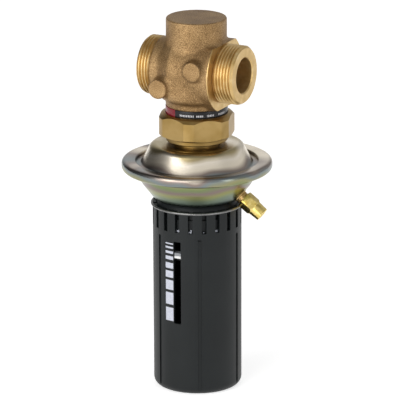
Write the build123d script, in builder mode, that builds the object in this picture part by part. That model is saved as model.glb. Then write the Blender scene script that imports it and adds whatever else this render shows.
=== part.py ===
"""Differential pressure regulator, DN 25, standing on the end of its setting handle.

Millimetres. The origin is the centre of the handle's flat end, +Z runs up the stem
and +X runs along the pipe towards the outlet.
"""

import os
from math import atan2, cos, pi, radians, sin, tan

from build123d import *

# Pipe and valve body
pipe_height = 230.0
face_to_face = 75.0
thread_radius = 20.955
outlet_thread_length = 15.5
inlet_thread_length = 10.5
thread_chamfer = 1.2
relief_width = 1.5
relief_depth = 1.755
port_bore_radius = 12.5
port_bore_chamfer = 0.8
collar_step = 0.5
collar_flat = 25.0
collar_width = 3.6
neck_radius = 21.0
neck_cone_start = -20.5
barrel_start = -10.0
chamber_radius = 27.0
chamber_depth = 20.0
chamber_bottom_round = 4.5
cap_radius = 21.4
cap_height = 38.0
cap_round = 0.8
boss_radius = 7.0
boss_stand = 4.0
boss_round = 0.6
boss_places = ((11.2, 6.4), (-15.5, -9.0))

# Inside of the valve body
web_drop = 1.0
web_thickness = 4.0
lower_chamber_radius = 16.0
upper_chamber_radius = 14.0
upper_chamber_height = 31.0
passage_end = 17.0
seat_outer_radius = 11.0
seat_bore_radius = 9.25
seat_flange_radius = 13.0
seat_flange_thickness = 2.5
valve_stroke = 5.0

# Lower neck, label ring and union nut
neck_length = 40.0
neck_thread_radius = 20.5
neck_bore_radius = 17.0
label_ring_rise = 8.5
label_ring_thickness = 1.2
label_clearance = 0.1
nut_across_flats = 50.0
nut_corner_radius = 26.9
nut_rise = 10.0
nut_hex_height = 16.8
nut_collar_height = 3.8
nut_collar_radius = 21.8
nut_crown_radius = 22.9
nut_corner_drop = 3.0
nut_turn = 15.0
nut_thread_clearance = 0.05
gasket_thickness = 1.0
gasket_width = 2.8

# Hub between the valve and the diaphragm housing
hub_flange_gap = 0.6
hub_flange_thickness = 2.0
hub_neck_radius = 16.4
hub_length = 12.5
hub_spigot_radius = 12.0
hub_spigot_length = 6.1
guide_plug_height = 11.0
guide_plug_clearance = 0.1
channel_radius = 1.2
channel_offset = 8.5

# Pressed diaphragm housing
upper_sheet = 2.0
dome_height = 14.5
dome_run = 7.2
dome_room = 4.0
dome_round = 5.5
trough_round = 1.5
diaphragm_thickness = 1.2
lower_sheet = 1.8
bowl_depth = 26.0
bowl_step = 1.0
bowl_waist_run = 9.35
bowl_waist_rise = 12.1
bowl_foot_run = 4.3
bowl_round = 6.0
waist_round = 12.0
foot_round = 2.6
rim_radius = 53.1
rim_rise = 2.5
rim_lip_gap = 4.1
rim_round = 2.9

# Diaphragm and its plates
plate_radius = 26.0
plate_sheet = 2.0
plate_bore_clearance = 0.03
diaphragm_drop = 3.4
roll_width = 7.6
roll_height = 3.6
roll_wall_run = 1.6

# Stem and spindle
stem_radius = 4.0
stem_thread_radius = 3.5
running_clearance = 0.05
press_clearance = 0.05
plug_radius = 12.6
plug_height = 5.5
plug_cone_height = 4.6
plug_bore_depth = 6.5
closing_gap = 0.02
plug_rim_width = 0.8
plug_cone_radius = 8.8
plug_seal_depth = 1.6
plate_nut_height = 4.5
plate_nut_flats = 15.0
spindle_radius = 5.0
spindle_end = 1.0
spindle_socket = 9.0
spindle_seal_depth = 6.0
o_ring_section = 1.1

# Threaded guide tube under the housing
tube_radius = 9.0
tube_bottom = 46.0
tube_flange_radius = 14.0
tube_flange_thickness = 3.0
guide_nut_flats = 24.0
guide_nut_height = 5.0

# Handle and the carrier that it turns on
handle_top_radius = 31.3
handle_base_radius = 31.0
handle_wall = 2.3
handle_gap = 2.5
handle_base_thickness = 3.0
handle_base_round = 6.0
finger_count = 20
finger_slot_width = 3.3
finger_length = 15.7
window_width = 5.5
window_bottom = 52.0
window_drop = 22.3
groove_count = 6
groove_width = 2.7
groove_depth = 0.6
groove_drop = 19.5
drive_rib_width = 4.0
drive_rib_height = 2.4
drive_rib_bottom = 30.0
drive_rib_gap = 3.0
ring_inset = 1.0
ring_wire_radius = 0.9
carrier_clearance = 0.35
carrier_wall = 4.0
carrier_depth = 19.5
carrier_disc = 4.0
hook_height = 2.6
hook_reach = 1.4
hook_drop = 6.5

# Setting spring, its plates, the adjusting nut and the indicator
indicator_drop = 12.2
indicator_height = 3.9
indicator_ring_width = 3.0
window_clearance = 0.3
indicator_tab_inset = 0.5
drive_notch_depth = 2.95
adjusting_nut_height = 9.0
adjusting_nut_lip = 2.0
adjusting_nut_hub_radius = 14.0
moving_clearance = 0.35
spring_plate_thickness = 2.0
spring_plate_margin = 3.0
spring_radius = 17.0
spring_wire_radius = 2.0
spring_turns = 7
seat_plate_bottom = 14.0
seat_plate_thickness = 3.0
seat_plate_margin = 2.5
seat_hub_height = 2.5
spindle_nut_flats = 17.0
spindle_nut_height = 7.0

# Impulse tube fitting on the bowl
fitting_angle = 7.0
fitting_rise = 4.0
nipple_radius = 4.4
nipple_gap = 3.0
nipple_ring_pitch = 1.0
nipple_ring_depth = 0.45
nipple_weld_depth = 2.6
nipple_spigot_radius = 3.0
nipple_bore_radius = 2.0
fitting_nut_flats = 11.0
fitting_nut_length = 17.3
fitting_hex_length = 10.0
fitting_thread_clearance = 0.05
fitting_end_radius = 5.0
fitting_shoulder_radius = 5.45
tube_socket_radius = 3.05
cutting_ring_length = 2.5
fitting_crown_slope = 0.08

# Levels of the valve, from the pipe's axis down to the gasket in its union
half_length = face_to_face / 2
cap_top = pipe_height + cap_height
upper_chamber_top = pipe_height + upper_chamber_height
chamber_bottom = pipe_height - chamber_depth
machined_collar_bottom = pipe_height - collar_flat
web_bottom = pipe_height - web_drop
web_top = web_bottom + web_thickness
seat_flange_bottom = web_bottom - seat_flange_thickness
neck_end = pipe_height - neck_length
gasket_bottom = neck_end - gasket_thickness
hub_flange_bottom = gasket_bottom - hub_flange_thickness
label_ring_bottom = neck_end + label_ring_rise
nut_top = neck_end + nut_rise
nut_hex_bottom = nut_top - nut_hex_height
nut_bottom = nut_hex_bottom - nut_collar_height

# Radii and places along the pipe
relief_radius = thread_radius - relief_depth
collar_radius = chamber_radius + collar_step
boss_reach = chamber_radius + boss_stand
collar_outer = half_length - outlet_thread_length
inlet_neck_end = -half_length + inlet_thread_length
label_outer_radius = neck_thread_radius + label_clearance + label_ring_thickness
machined_collar_radius = label_outer_radius
hub_flange_radius = neck_thread_radius - hub_flange_gap
stem_seal_level = gasket_bottom + guide_plug_height / 2

# Levels of the housing, which hangs on the hub, and of the handle below it
housing_top = neck_end - hub_length
flange_top = housing_top - dome_height
bowl_bottom = flange_top - bowl_depth
bowl_floor = bowl_bottom + lower_sheet
rim_crest = flange_top + rim_rise
diaphragm_top = flange_top - upper_sheet
diaphragm_bottom = diaphragm_top - diaphragm_thickness
rim_bottom = diaphragm_bottom - lower_sheet
centre_top = diaphragm_top - diaphragm_drop
centre_bottom = centre_top - diaphragm_thickness
plate_top = centre_top + plate_sheet
plate_bottom = centre_bottom - plate_sheet
plate_nut_bottom = plate_bottom - plate_nut_height
plug_top = seat_flange_bottom - valve_stroke - closing_gap
plug_bottom = plug_top - plug_height
spindle_top = plate_nut_bottom
spindle_bottom = seat_plate_bottom - spindle_nut_height - spindle_end
spindle_seal_level = bowl_bottom - spindle_seal_depth
handle_top = bowl_bottom - handle_gap
ring_height = handle_top - ring_inset
hook_level = handle_top - hook_drop
finger_slot_bottom = handle_top - finger_length
groove_top = handle_top - groove_drop
window_top = handle_top - window_drop
carrier_bottom = bowl_bottom - carrier_depth
drive_rib_top = carrier_bottom - drive_rib_gap
indicator_bottom = window_top - indicator_drop
indicator_top = indicator_bottom + indicator_height
nut_level = indicator_bottom - adjusting_nut_lip
spring_top = nut_level - spring_plate_thickness
seat_plate_top = seat_plate_bottom + seat_plate_thickness

# The handle's wall leans a little: what runs up and down inside it fits the slimmer end
handle_slim_radius = min(handle_base_radius, handle_top_radius)
handle_wide_radius = max(handle_base_radius, handle_top_radius)
handle_inner_radius = handle_top_radius - handle_wall
drive_rib_face = handle_slim_radius - handle_wall - drive_rib_height
nut_disc_radius = handle_slim_radius - handle_wall - moving_clearance
indicator_seat_radius = nut_disc_radius - indicator_ring_width
indicator_tab_radius = handle_slim_radius - indicator_tab_inset
ring_radius = handle_top_radius + ring_wire_radius / 2
carrier_radius = handle_inner_radius - carrier_clearance
carrier_groove_radius = handle_inner_radius - hook_reach - moving_clearance
spring_outer_radius = spring_radius + spring_wire_radius
spring_plate_radius = spring_outer_radius + spring_plate_margin
seat_plate_radius = spring_outer_radius + seat_plate_margin
seat_hub_radius = spring_radius - spring_wire_radius - moving_clearance

# Radii of the housing: the dome clears the diaphragm's roll, the bowl stands on the carrier
clamped_radius = rim_radius - rim_round
roll_inner_radius = plate_radius + roll_wall_run
roll_outer_radius = roll_inner_radius + roll_width
dome_foot_radius = roll_outer_radius + dome_room
dome_corner_radius = dome_foot_radius - dome_run
rim_lip_radius = dome_foot_radius + rim_lip_gap
bowl_corner_radius = carrier_radius + bowl_step
bowl_waist = (bowl_corner_radius + bowl_waist_run, bowl_bottom + bowl_waist_rise)
bowl_foot_radius = bowl_waist[0] + bowl_foot_run

# Impulse fitting
fitting_height = bowl_bottom + fitting_rise
nipple_length = nipple_gap + 8.0
nipple_ring_count = int(nipple_gap / nipple_ring_pitch)
cutting_ring_radius = nipple_radius - nipple_ring_depth
fitting_corner_radius = fitting_nut_flats / 2 / cos(pi / 6)

# The fitting stands square on the sloping wall of the bowl
wall_slope = atan2(bowl_waist[1] - bowl_bottom, bowl_waist[0] - bowl_corner_radius)
fitting_radius = bowl_corner_radius + (fitting_height - bowl_bottom) / tan(wall_slope)
fitting_turn = radians(fitting_angle)
fitting_plane = Plane(
    origin=(fitting_radius * cos(fitting_turn), fitting_radius * sin(fitting_turn), fitting_height),
    x_dir=(-sin(fitting_turn), cos(fitting_turn), 0),
    z_dir=(
        sin(wall_slope) * cos(fitting_turn),
        sin(wall_slope) * sin(fitting_turn),
        -cos(wall_slope),
    ),
)


def outline(*points):
    """A closed face drawn in the plane of radius and height."""
    with BuildSketch(Plane.XZ) as face:
        with BuildLine():
            Polyline(*points, close=True)
        make_face()
    return face.sketch


def ring_outline(inner, outer, low, high):
    """A rectangle between two radii and two heights."""
    return outline((inner, low), (outer, low), (outer, high), (inner, high))


def at_height(part, level):
    """The edges of a part that lie flat at one height."""
    return part.edges().filter_by(lambda edge: abs(edge.center().Z - level) < 0.001)


def around(angle, radius):
    """A plane that faces outwards at an angle round the stem, at a radius from it."""
    turn = radians(angle)
    return Plane(
        origin=(radius * cos(turn), radius * sin(turn), 0),
        x_dir=(-sin(turn), cos(turn), 0),
        z_dir=(cos(turn), sin(turn), 0),
    )


# Valve body: one bronze casting with threaded ports, a closed cap and a seat web
with BuildPart() as valve_body:
    # Lying: the inlet's thread and neck, a cone, and a barrel as far as the collar
    with BuildSketch(Plane.XZ):
        with BuildLine():
            Polyline(
                (-half_length, pipe_height),
                (-half_length, pipe_height + thread_radius),
                (inlet_neck_end - relief_width, pipe_height + thread_radius),
                (inlet_neck_end - relief_width, pipe_height + relief_radius),
                (inlet_neck_end, pipe_height + relief_radius),
                (inlet_neck_end, pipe_height + neck_radius),
                (neck_cone_start, pipe_height + neck_radius),
                (barrel_start, pipe_height + chamber_radius),
                (collar_outer - collar_width, pipe_height + chamber_radius),
                (collar_outer - collar_width, pipe_height + collar_radius),
                (half_length, pipe_height + collar_radius),
                (half_length, pipe_height),
                close=True,
            )
        make_face()
    revolve(axis=Axis((0, 0, pipe_height), (1, 0, 0)))
    with Locations((0, 0, pipe_height)):
        Box(face_to_face, 3 * chamber_radius, 2 * collar_flat, mode=Mode.INTERSECT)
    # Upright: the neck, a machined collar, the lower chamber and the cap
    with BuildSketch(Plane.XZ):
        with BuildLine():
            Polyline(
                (0, neck_end),
                (neck_thread_radius, neck_end),
                (neck_thread_radius, machined_collar_bottom),
                (machined_collar_radius, machined_collar_bottom),
                (machined_collar_radius, chamber_bottom),
                (chamber_radius, chamber_bottom),
                (chamber_radius, pipe_height),
                (cap_radius, pipe_height),
                (cap_radius, cap_top),
                (0, cap_top),
                close=True,
            )
        corners = make_face().vertices()
        fillet(corners.group_by(Axis.Y)[-1].sort_by(Axis.X)[-1:], cap_round)
        fillet(corners.group_by(Axis.X)[-1].sort_by(Axis.Y)[:1], chamber_bottom_round)
    revolve(axis=Axis.Z)
    # Past the collar the outlet is turned down to a relief and a thread
    for start, end, radius in (
        (collar_outer, collar_outer + relief_width, relief_radius),
        (collar_outer + relief_width, half_length, thread_radius),
    ):
        with BuildSketch(Plane.YZ.offset(start)):
            with Locations((0, pipe_height)):
                Circle(2 * chamber_radius)
                Circle(radius, mode=Mode.SUBTRACT)
        extrude(amount=end - start, mode=Mode.SUBTRACT)
    for boss_x, boss_z in boss_places:
        with BuildSketch(Plane.XZ.offset(boss_reach)):
            with Locations((boss_x, pipe_height + boss_z)):
                Circle(boss_radius)
        extrude(amount=-boss_reach / 2)
    port_rims = valve_body.edges().filter_by(GeomType.CIRCLE).group_by(Axis.X)
    for rim in (port_rims[0], port_rims[-1]):
        chamfer(rim.sort_by(SortBy.RADIUS)[-1:], thread_chamfer)
    boss_rims = valve_body.edges().filter_by(GeomType.CIRCLE).group_by(Axis.Y)[0]
    fillet(boss_rims, boss_round)
    # The lower chamber and the neck are bored from below
    with BuildSketch(Plane.XY.offset(neck_end)):
        Circle(lower_chamber_radius)
    extrude(amount=web_bottom - neck_end, mode=Mode.SUBTRACT)
    with BuildSketch(Plane.XY.offset(neck_end)):
        Circle(neck_bore_radius)
    extrude(amount=guide_plug_height - gasket_thickness + 0.2, mode=Mode.SUBTRACT)
    with BuildSketch(Plane.XY.offset(web_bottom)):
        Circle(seat_outer_radius)
    extrude(amount=web_thickness, mode=Mode.SUBTRACT)
    with BuildSketch(Plane.XY.offset(web_top)):
        Circle(upper_chamber_radius)
    extrude(amount=upper_chamber_top - web_top, mode=Mode.SUBTRACT)
    # Each port ends at the web wall: the inlet opens below the seat, the outlet above it
    for side in (-1, 1):
        with BuildSketch(Plane.YZ.offset(side * half_length)):
            with Locations((0, pipe_height)):
                Circle(port_bore_radius)
        extrude(amount=-side * (half_length - passage_end), mode=Mode.SUBTRACT)
        with BuildSketch(Plane.YZ.offset(side * passage_end)):
            with Locations((0, pipe_height)):
                Circle(port_bore_radius)
            if side < 0:
                keep_low, keep_high = pipe_height - port_bore_radius, web_bottom
            else:
                keep_low, keep_high = web_top, pipe_height + port_bore_radius
            with Locations((0, (keep_low + keep_high) / 2)):
                Rectangle(2 * port_bore_radius, keep_high - keep_low, mode=Mode.INTERSECT)
        extrude(amount=-side * passage_end, mode=Mode.SUBTRACT)
    bore_rims = valve_body.edges().filter_by(GeomType.CIRCLE).group_by(Axis.X)
    for rim in (bore_rims[0], bore_rims[-1]):
        chamfer(rim.sort_by(SortBy.RADIUS)[:1], port_bore_chamfer)

# Seat ring: turned steel, pressed into the web from below
with BuildPart() as valve_seat:
    revolve(
        outline(
            (seat_bore_radius, seat_flange_bottom),
            (seat_flange_radius, seat_flange_bottom),
            (seat_flange_radius, web_bottom),
            (seat_outer_radius, web_bottom),
            (seat_outer_radius, web_top),
            (seat_bore_radius, web_top),
        ),
        axis=Axis.Z,
    )
    chamfer(at_height(valve_seat, web_top).sort_by(SortBy.RADIUS)[:1], 0.8)

# Plug: steel disc with a throttling cone and a groove for its soft seal
with BuildPart() as valve_plug:
    revolve(
        outline(
            (0, plug_bottom),
            (plug_radius, plug_bottom),
            (plug_radius, plug_top),
            (plug_radius - plug_rim_width, plug_top),
            (plug_radius - plug_rim_width, plug_top - plug_seal_depth),
            (plug_cone_radius, plug_top - plug_seal_depth),
            (plug_cone_radius, plug_top),
            (plug_cone_radius - 3.0, plug_top + plug_cone_height),
            (0, plug_top + plug_cone_height),
        ),
        axis=Axis.Z,
    )
    with Locations((0, 0, plug_bottom)):
        Cylinder(
            stem_thread_radius + plate_bore_clearance,
            plug_bore_depth,
            align=(Align.CENTER, Align.CENTER, Align.MIN),
            mode=Mode.SUBTRACT,
        )
    chamfer(at_height(valve_plug, plug_bottom).sort_by(SortBy.RADIUS)[-1:], 0.6)

# Soft seal: a flat rubber ring in the face of the plug
with BuildPart() as plug_seal:
    revolve(
        ring_outline(
            plug_cone_radius, plug_radius - plug_rim_width, plug_top - plug_seal_depth, plug_top
        ),
        axis=Axis.Z,
    )

# Stem: a turned rod from the plug down to the diaphragm plates
with BuildPart() as valve_stem:
    revolve(
        outline(
            (0, spindle_top - spindle_socket + 0.5),
            (stem_thread_radius, spindle_top - spindle_socket + 0.5),
            (stem_thread_radius, plate_top),
            (stem_radius, plate_top),
            (stem_radius, plug_bottom),
            (stem_thread_radius, plug_bottom),
            (stem_thread_radius, plug_bottom + plug_bore_depth - 0.5),
            (0, plug_bottom + plug_bore_depth - 0.5),
        ),
        axis=Axis.Z,
    )

# Guide plug: brass, closes the neck of the valve round the stem
with BuildPart() as stem_guide:
    revolve(
        ring_outline(
            stem_radius + running_clearance,
            neck_bore_radius - guide_plug_clearance,
            gasket_bottom,
            gasket_bottom + guide_plug_height,
        ),
        axis=Axis.Z,
    )
    revolve(
        ring_outline(
            stem_radius + running_clearance / 2,
            stem_radius + running_clearance / 2 + 2 * o_ring_section,
            stem_seal_level - o_ring_section,
            stem_seal_level + o_ring_section,
        ),
        axis=Axis.Z,
        mode=Mode.SUBTRACT,
    )
    with Locations((channel_offset, 0, gasket_bottom)):
        Cylinder(
            channel_radius,
            guide_plug_height,
            align=(Align.CENTER, Align.CENTER, Align.MIN),
            mode=Mode.SUBTRACT,
        )
    chamfer(at_height(stem_guide, gasket_bottom + guide_plug_height).sort_by(SortBy.RADIUS)[-1:], 0.8)

# Round seals on the stem and on the spindle
with BuildPart() as stem_o_ring:
    with Locations((0, 0, stem_seal_level)):
        Torus(stem_radius + running_clearance / 2 + o_ring_section, o_ring_section)
with BuildPart() as spindle_o_ring:
    with Locations((0, 0, spindle_seal_level)):
        Torus(spindle_radius + running_clearance / 2 + o_ring_section, o_ring_section)

# Flat gasket between the neck of the valve and the hub
with BuildPart() as neck_gasket:
    revolve(
        ring_outline(
            neck_thread_radius - 0.3 - gasket_width, neck_thread_radius - 0.3, gasket_bottom, neck_end
        ),
        axis=Axis.Z,
    )

# Label ring: a black plastic band round the neck
with BuildPart() as label_ring:
    revolve(
        ring_outline(
            neck_thread_radius + label_clearance,
            neck_thread_radius + label_clearance + label_ring_thickness,
            label_ring_bottom,
            machined_collar_bottom,
        ),
        axis=Axis.Z,
    )
    fillet(
        at_height(label_ring, label_ring_bottom).sort_by(SortBy.RADIUS)[-1:]
        + at_height(label_ring, machined_collar_bottom).sort_by(SortBy.RADIUS)[-1:],
        0.3,
    )

# Union nut: brass hexagon with turned chamfers and a collar below
with BuildPart() as union_nut:
    with BuildSketch(Plane.XY.offset(nut_bottom)):
        RegularPolygon(nut_across_flats / 2, 6, major_radius=False, rotation=nut_turn)
    extrude(amount=nut_top - nut_bottom)
    revolve(
        outline(
            (0, nut_bottom),
            (nut_collar_radius - 0.8, nut_bottom),
            (nut_collar_radius, nut_bottom + 0.8),
            (nut_collar_radius, nut_hex_bottom - 0.6),
            (nut_across_flats / 2 - 1.0, nut_hex_bottom),
            (nut_corner_radius, nut_hex_bottom + nut_corner_drop / 2),
            (nut_corner_radius, nut_top - nut_corner_drop),
            (nut_across_flats / 2, nut_top - nut_corner_drop / 3),
            (nut_crown_radius, nut_top),
            (0, nut_top),
        ),
        axis=Axis.Z,
        mode=Mode.INTERSECT,
    )
    revolve(
        outline(
            (0, nut_bottom),
            (hub_neck_radius + 0.2, nut_bottom),
            (hub_neck_radius + 0.2, hub_flange_bottom),
            (neck_thread_radius + nut_thread_clearance, hub_flange_bottom),
            (neck_thread_radius + nut_thread_clearance, label_ring_bottom - 0.2),
            (label_outer_radius + 0.3, label_ring_bottom - 0.2),
            (label_outer_radius + 0.3, nut_top),
            (0, nut_top),
        ),
        axis=Axis.Z,
        mode=Mode.SUBTRACT,
    )

# Hub: turned brass, its flange under the neck and its spigot in the pressed housing
with BuildPart() as housing_hub:
    revolve(
        outline(
            (stem_radius + 1.0, housing_top - hub_spigot_length),
            (hub_spigot_radius, housing_top - hub_spigot_length),
            (hub_spigot_radius, housing_top),
            (hub_neck_radius, housing_top),
            (hub_neck_radius, hub_flange_bottom),
            (hub_flange_radius, hub_flange_bottom),
            (hub_flange_radius, gasket_bottom),
            (stem_radius + 1.0, gasket_bottom),
        ),
        axis=Axis.Z,
    )
    with Locations((channel_offset, 0, gasket_bottom)):
        Cylinder(
            channel_radius,
            gasket_bottom - housing_top + hub_spigot_length,
            align=(Align.CENTER, Align.CENTER, Align.MAX),
            mode=Mode.SUBTRACT,
        )
    chamfer(at_height(housing_hub, housing_top - hub_spigot_length).sort_by(SortBy.RADIUS)[-1:], 0.8)

# Upper half of the housing: a pressed dome with a flat flange
with BuildPart() as upper_casing:
    with BuildSketch(Plane.XZ):
        with BuildLine():
            FilletPolyline(
                (hub_spigot_radius + press_clearance, housing_top),
                (dome_corner_radius, housing_top),
                (dome_foot_radius, flange_top),
                (clamped_radius, flange_top),
                radius=(dome_round, trough_round),
            )
            offset(amount=upper_sheet, side=Side.RIGHT)
        make_face()
    revolve(axis=Axis.Z)

# Lower half: a pressed bowl whose edge is rolled over the flange and the diaphragm
with BuildPart() as lower_casing:
    with BuildSketch(Plane.XZ):
        with BuildLine():
            FilletPolyline(
                (tube_radius + press_clearance, bowl_bottom),
                (bowl_corner_radius, bowl_bottom),
                bowl_waist,
                (bowl_foot_radius, rim_bottom),
                (rim_radius, rim_bottom),
                (rim_radius, rim_crest),
                (rim_lip_radius, flange_top + lower_sheet + 0.05),
                radius=(bowl_round, waist_round, foot_round, rim_round, rim_round),
            )
            offset(amount=lower_sheet, side=Side.LEFT)
        make_face()
    revolve(axis=Axis.Z)
    with Locations(fitting_plane):
        Cylinder(nipple_spigot_radius + press_clearance, 3 * lower_sheet, mode=Mode.SUBTRACT)

# Diaphragm: moulded rubber, clamped at its edge, with one roll round the plates
with BuildPart() as diaphragm:
    with BuildSketch(Plane.XZ):
        with BuildLine():
            FilletPolyline(
                (stem_thread_radius + plate_bore_clearance, centre_top),
                (roll_inner_radius, centre_top),
                (roll_inner_radius + roll_wall_run, diaphragm_top + roll_height),
                (roll_outer_radius - roll_wall_run, diaphragm_top + roll_height),
                (roll_outer_radius + roll_wall_run, diaphragm_top),
                (clamped_radius, diaphragm_top),
                radius=(1.6, 1.8, 1.8, 1.6),
            )
            offset(amount=diaphragm_thickness, side=Side.RIGHT)
        make_face()
    revolve(axis=Axis.Z)

# Diaphragm plates: two pressed discs that hold the middle of the diaphragm
with BuildPart() as diaphragm_plate_upper:
    revolve(
        ring_outline(
            stem_thread_radius + plate_bore_clearance, plate_radius, centre_top, plate_top
        ),
        axis=Axis.Z,
    )
    fillet(at_height(diaphragm_plate_upper, plate_top).sort_by(SortBy.RADIUS)[-1:], 1.2)
with BuildPart() as diaphragm_plate_lower:
    revolve(
        ring_outline(
            stem_thread_radius + plate_bore_clearance, plate_radius, plate_bottom, centre_bottom
        ),
        axis=Axis.Z,
    )
    fillet(at_height(diaphragm_plate_lower, plate_bottom).sort_by(SortBy.RADIUS)[-1:], 1.2)

# Plate nut: clamps the plates against the shoulder of the stem
with BuildPart() as plate_nut:
    with BuildSketch(Plane.XY.offset(plate_nut_bottom)):
        RegularPolygon(plate_nut_flats / 2, 6, major_radius=False)
        Circle(stem_thread_radius + plate_bore_clearance, mode=Mode.SUBTRACT)
    extrude(amount=plate_nut_height)

# Spindle: screwed onto the stem, runs through the housing to the lower spring seat
with BuildPart() as spindle:
    revolve(
        outline(
            (0, spindle_bottom),
            (spindle_radius, spindle_bottom),
            (spindle_radius, spindle_top),
            (stem_thread_radius + plate_bore_clearance, spindle_top),
            (stem_thread_radius + plate_bore_clearance, spindle_top - spindle_socket),
            (0, spindle_top - spindle_socket),
        ),
        axis=Axis.Z,
    )
    chamfer(at_height(spindle, spindle_bottom), 0.6)

# Guide tube: turned steel, its flange in the bowl and its threaded tube in the handle
with BuildPart() as guide_tube:
    revolve(
        outline(
            (spindle_radius + running_clearance, tube_bottom),
            (tube_radius, tube_bottom),
            (tube_radius, bowl_floor),
            (tube_flange_radius, bowl_floor),
            (tube_flange_radius, bowl_floor + tube_flange_thickness),
            (spindle_radius + running_clearance, bowl_floor + tube_flange_thickness),
        ),
        axis=Axis.Z,
    )
    revolve(
        ring_outline(
            spindle_radius + running_clearance / 2,
            spindle_radius + running_clearance / 2 + 2 * o_ring_section,
            spindle_seal_level - o_ring_section,
            spindle_seal_level + o_ring_section,
        ),
        axis=Axis.Z,
        mode=Mode.SUBTRACT,
    )
    chamfer(at_height(guide_tube, tube_bottom).sort_by(SortBy.RADIUS)[-1:], 1.0)

# Carrier: a plastic cup under the bowl with a groove for the handle's fingers
with BuildPart() as handle_carrier:
    revolve(
        outline(
            (tube_radius + press_clearance, bowl_bottom - carrier_disc),
            (carrier_radius - carrier_wall, bowl_bottom - carrier_disc),
            (carrier_radius - carrier_wall, carrier_bottom),
            (carrier_radius, carrier_bottom),
            (carrier_radius, hook_level - moving_clearance),
            (carrier_groove_radius, hook_level - moving_clearance),
            (carrier_groove_radius, hook_level + hook_height + moving_clearance),
            (carrier_radius, hook_level + hook_height + moving_clearance),
            (carrier_radius, bowl_bottom - carrier_disc + 1.0),
            (bowl_corner_radius - bowl_round / 2, bowl_bottom),
            (tube_radius + press_clearance, bowl_bottom),
        ),
        axis=Axis.Z,
    )

# Guide nut: holds the carrier and the bowl on the guide tube
with BuildPart() as guide_nut:
    with BuildSketch(Plane.XY.offset(bowl_bottom - carrier_disc - guide_nut_height)):
        RegularPolygon(guide_nut_flats / 2, 6, major_radius=False)
        Circle(tube_radius + press_clearance, mode=Mode.SUBTRACT)
    extrude(amount=guide_nut_height)

# Handle: a moulded cup with fingers at its top, a window, and ribs that drive the nut
with BuildPart() as handle:
    revolve(
        outline(
            (0, 0),
            (handle_base_radius, 0),
            (handle_top_radius, handle_top),
            (handle_inner_radius, handle_top),
            (handle_inner_radius, hook_level + hook_height),
            (handle_inner_radius - hook_reach, hook_level + hook_height),
            (handle_inner_radius - hook_reach, hook_level),
            (handle_inner_radius, hook_level),
            (handle_base_radius - handle_wall, handle_base_thickness),
            (0, handle_base_thickness),
        ),
        axis=Axis.Z,
    )
    fillet(at_height(handle, 0), handle_base_round)
    with Locations((0, 0, drive_rib_bottom)):
        with PolarLocations(drive_rib_face, 2):
            Box(
                handle_wide_radius,
                drive_rib_width,
                drive_rib_top - drive_rib_bottom,
                align=(Align.MIN, Align.CENTER, Align.MIN),
            )
    revolve(
        outline(
            (2 * handle_wide_radius, 0),
            (2 * handle_wide_radius, handle_top),
            (handle_top_radius, handle_top),
            (handle_base_radius, 0),
        ),
        axis=Axis.Z,
        mode=Mode.SUBTRACT,
    )
    with Locations((0, 0, finger_slot_bottom)):
        with PolarLocations(handle_inner_radius, finger_count, start_angle=-90):
            Box(
                4 * handle_wall,
                finger_slot_width,
                handle_top - finger_slot_bottom + 1,
                align=(Align.CENTER, Align.CENTER, Align.MIN),
                mode=Mode.SUBTRACT,
            )
    with BuildSketch(around(-90, nut_disc_radius - 1)):
        with Locations((0, (window_bottom + window_top) / 2)):
            RectangleRounded(window_width, window_top - window_bottom, 0.5)
    extrude(amount=handle_wide_radius - nut_disc_radius + 3, mode=Mode.SUBTRACT)
    for index in range(groove_count):
        with BuildSketch(around(index * 360 / groove_count, handle_base_radius - groove_depth)):
            with Locations((0, groove_top - groove_width / 2)):
                Circle(groove_width / 2)
                Rectangle(groove_width, groove_top, align=(Align.CENTER, Align.MAX))
        extrude(amount=2 * handle_wall, mode=Mode.SUBTRACT)
    with Locations((0, 0, ring_height)):
        Torus(ring_radius, ring_wire_radius + 0.02, mode=Mode.SUBTRACT)

# Retaining ring: a split wire ring in the notch at the top of the fingers
with BuildPart() as retaining_ring:
    with Locations((0, 0, ring_height)):
        Torus(ring_radius, ring_wire_radius)
        with Locations((0, ring_radius, 0)):
            Box(1.6, 4 * ring_wire_radius, 4 * ring_wire_radius, mode=Mode.SUBTRACT)

# Adjusting nut: a moulded disc threaded on the guide tube and turned by the handle's ribs
with BuildPart() as adjusting_nut:
    revolve(
        outline(
            (tube_radius + running_clearance, nut_level),
            (nut_disc_radius, nut_level),
            (nut_disc_radius, indicator_bottom),
            (indicator_seat_radius, indicator_bottom),
            (indicator_seat_radius, indicator_top),
            (adjusting_nut_hub_radius, indicator_top),
            (adjusting_nut_hub_radius, nut_level + adjusting_nut_height),
            (tube_radius + running_clearance, nut_level + adjusting_nut_height),
        ),
        axis=Axis.Z,
    )
    with PolarLocations(nut_disc_radius, 2):
        with Locations((0, 0, nut_level)):
            Box(
                2 * drive_notch_depth,
                drive_rib_width + 2 * moving_clearance,
                adjusting_nut_height,
                align=(Align.CENTER, Align.CENTER, Align.MIN),
                mode=Mode.SUBTRACT,
            )

# Indicator: a white ring on the nut with a tab that shows in the window
with BuildPart() as indicator:
    revolve(
        ring_outline(indicator_seat_radius, nut_disc_radius, indicator_bottom, indicator_top),
        axis=Axis.Z,
    )
    with Locations((0, -(nut_disc_radius + indicator_tab_radius) / 2 + 1, indicator_bottom)):
        Box(
            window_width - 2 * window_clearance,
            indicator_tab_radius - nut_disc_radius + 2,
            indicator_height,
            align=(Align.CENTER, Align.CENTER, Align.MIN),
        )
    with PolarLocations(nut_disc_radius, 2):
        with Locations((0, 0, indicator_bottom)):
            Box(
                2 * drive_notch_depth,
                drive_rib_width + 2 * moving_clearance,
                indicator_height,
                align=(Align.CENTER, Align.CENTER, Align.MIN),
                mode=Mode.SUBTRACT,
            )

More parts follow.
